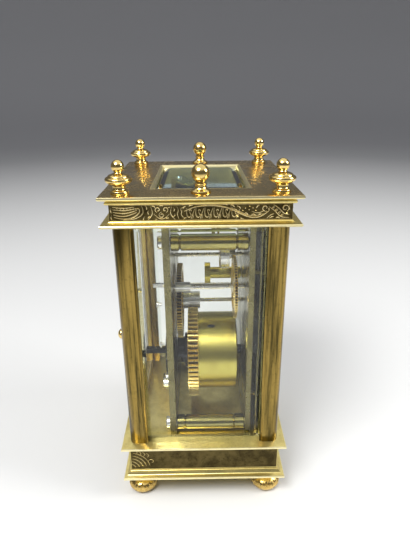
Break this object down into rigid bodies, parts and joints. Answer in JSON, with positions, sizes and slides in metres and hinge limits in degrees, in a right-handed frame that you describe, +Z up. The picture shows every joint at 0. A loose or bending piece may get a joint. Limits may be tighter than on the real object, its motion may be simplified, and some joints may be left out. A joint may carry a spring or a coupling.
{
  "type": "carriage clock",
  "caption": "Small glazed brass travelling clock with turned finials, chased cornice, corner posts, bun feet and a visible lever movement.",
  "frame": {"origin": "on the surface that the feet stand on, under the middle of the case", "axes": "+Z up, dial towards -Y, back door towards +Y, X across the dial with +X at its right hand side"},
  "size_m": [0.0724, 0.064, 0.1342],
  "materials": {
    "polished_brass": "polished, with an olive tarnish",
    "cast_brass": "cast relief, gilt on a dark bronze ground",
    "movement_brass": "fine-grained, lacquered",
    "polished_steel": "polished",
    "blued_steel": "dark blued",
    "bevelled_glass": "clear, bevelled, faintly green",
    "white_enamel": "vitreous enamel"
  },
  "bodies": {
    "case": {"base_plinth": "polished_brass", "top_plate": "polished_brass", "dial_backing": "polished_brass", "platform": "polished_brass", "escapement_bridge": "polished_brass", "balance_cock": "polished_brass", "foot_front_left": "polished_brass", "foot_front_right": "polished_brass", "foot_back_left": "polished_brass", "foot_back_right": "polished_brass", "corner_post_front_left": "polished_brass", "corner_post_front_right": "polished_brass", "corner_post_back_left": "polished_brass", "corner_post_back_right": "polished_brass", "corner_finial_front_left": "polished_brass", "corner_finial_front_right": "polished_brass", "corner_finial_back_left": "polished_brass", "corner_finial_back_right": "polished_brass", "ball_finial_left": "polished_brass", "ball_finial_right": "polished_brass", "cornice_frame": "cast_brass", "front_plate": "movement_brass", "back_plate": "movement_brass", "flanged_stud": "movement_brass", "pillar_bottom_left": "movement_brass", "pillar_bottom_right": "movement_brass", "pillar_top_left": "movement_brass", "pillar_top_right": "movement_brass", "pillar_screw_bottom_left": "polished_steel", "pillar_screw_bottom_right": "polished_steel", "pillar_screw_top_left": "polished_steel", "pillar_screw_top_right": "polished_steel", "click_spring": "polished_steel", "hairspring": "blued_steel", "top_glass": "bevelled_glass", "side_glass_left": "bevelled_glass", "side_glass_right": "bevelled_glass", "front_glass": "bevelled_glass", "dial_plate": "white_enamel"},
    "back_door": {"back_door_frame": "polished_brass", "back_door_glass": "bevelled_glass", "back_door_knob": "polished_brass"},
    "going_barrel": {"barrel": "movement_brass", "barrel_cap": "movement_brass", "mainspring": "blued_steel"},
    "winding_arbor": {"barrel_arbor": "blued_steel", "ratchet_wheel": "blued_steel"},
    "ratchet_click": {"click": "polished_steel"},
    "centre_arbor": {"centre_wheel": "movement_brass"},
    "third_arbor": {"third_wheel": "movement_brass"},
    "contrate_arbor": {"contrate_wheel": "movement_brass"},
    "escape_arbor": {"escape_wheel": "polished_steel"},
    "lever": {"pallet_lever": "polished_steel"},
    "balance": {"balance_wheel": "polished_brass"},
    "minute_hand_on_cannon": {"minute_hand": "blued_steel", "cannon_pinion": "polished_steel"},
    "hour_hand_on_pipe": {"hour_hand": "blued_steel", "hour_wheel": "movement_brass"},
    "minute_wheel_on_stud": {"minute_wheel": "movement_brass"},
    "setting_arbor": {"hand_setting_arbor": "polished_steel"}
  },
  "joints": [
    {"name": "back_door_hinge", "type": "hinge", "parent": "case", "child": "back_door", "pos_m": [0.0242, 0.0265, 0.0694], "axis": [0, 0, -1], "range_deg": [0, 90]},
    {"name": "centre_arbor_turn", "type": "hinge", "parent": "case", "child": "centre_arbor", "pos_m": [0, 0, 0.072], "axis": [0, -1, 0], "continuous": true},
    {"name": "barrel_turn", "type": "hinge", "parent": "case", "child": "going_barrel", "pos_m": [-0.00433, 0, 0.05074], "axis": [0, -1, 0], "continuous": true},
    {"name": "third_arbor_turn", "type": "hinge", "parent": "case", "child": "third_arbor", "pos_m": [-0.01235, 0, 0.08339], "axis": [0, -1, 0], "continuous": true},
    {"name": "contrate_arbor_turn", "type": "hinge", "parent": "case", "child": "contrate_arbor", "pos_m": [-0.00359, 0, 0.09343], "axis": [0, -1, 0], "continuous": true},
    {"name": "escape_arbor_turn", "type": "hinge", "parent": "case", "child": "escape_arbor", "pos_m": [-0.00359, -0.00667, 0.1134], "axis": [0, 0, 1], "continuous": true},
    {"name": "winding_arbor_turn", "type": "hinge", "parent": "case", "child": "winding_arbor", "pos_m": [-0.00433, 0, 0.05074], "axis": [0, -1, 0], "continuous": true},
    {"name": "click_lift", "type": "hinge", "parent": "case", "child": "ratchet_click", "pos_m": [-0.0151, 0, 0.04401], "axis": [0, 1, 0], "range_deg": [0, 5], "stiffness_Nm_per_rad": 0.0002, "springref_deg": -28.65},
    {"name": "lever_swing", "type": "hinge", "parent": "case", "child": "lever", "pos_m": [-0.00226, -0.00154, 0.1134], "axis": [0, 0, 1], "range_deg": [-5, 5]},
    {"name": "balance_swing", "type": "hinge", "parent": "case", "child": "balance", "pos_m": [-0.00068, 0.00456, 0.1134], "axis": [0, 0, 1], "range_deg": [-220, 220], "stiffness_Nm_per_rad": 0.000012},
    {"name": "minute_hand_turn", "type": "hinge", "parent": "case", "child": "minute_hand_on_cannon", "pos_m": [0, 0, 0.072], "axis": [0, -1, 0], "continuous": true},
    {"name": "hour_hand_turn", "type": "hinge", "parent": "case", "child": "hour_hand_on_pipe", "pos_m": [0, 0, 0.072], "axis": [0, -1, 0], "continuous": true},
    {"name": "minute_wheel_turn", "type": "hinge", "parent": "case", "child": "minute_wheel_on_stud", "pos_m": [0.00901, 0, 0.07531], "axis": [0, -1, 0], "continuous": true},
    {"name": "hand_setting_turn", "type": "hinge", "parent": "case", "child": "setting_arbor", "pos_m": [0.01765, 0, 0.07114], "axis": [0, -1, 0], "continuous": true}
  ],
  "couplings": [
    {"joint": "barrel_turn", "follows": "centre_arbor_turn", "ratio": -0.16667},
    {"joint": "third_arbor_turn", "follows": "centre_arbor_turn", "ratio": -9},
    {"joint": "contrate_arbor_turn", "follows": "centre_arbor_turn", "ratio": 72},
    {"joint": "escape_arbor_turn", "follows": "centre_arbor_turn", "ratio": -600},
    {"joint": "minute_wheel_turn", "follows": "minute_hand_turn", "ratio": -0.33333},
    {"joint": "hour_hand_turn", "follows": "minute_hand_turn", "ratio": 0.083333},
    {"joint": "hand_setting_turn", "follows": "minute_hand_turn", "ratio": 1}
  ]
}
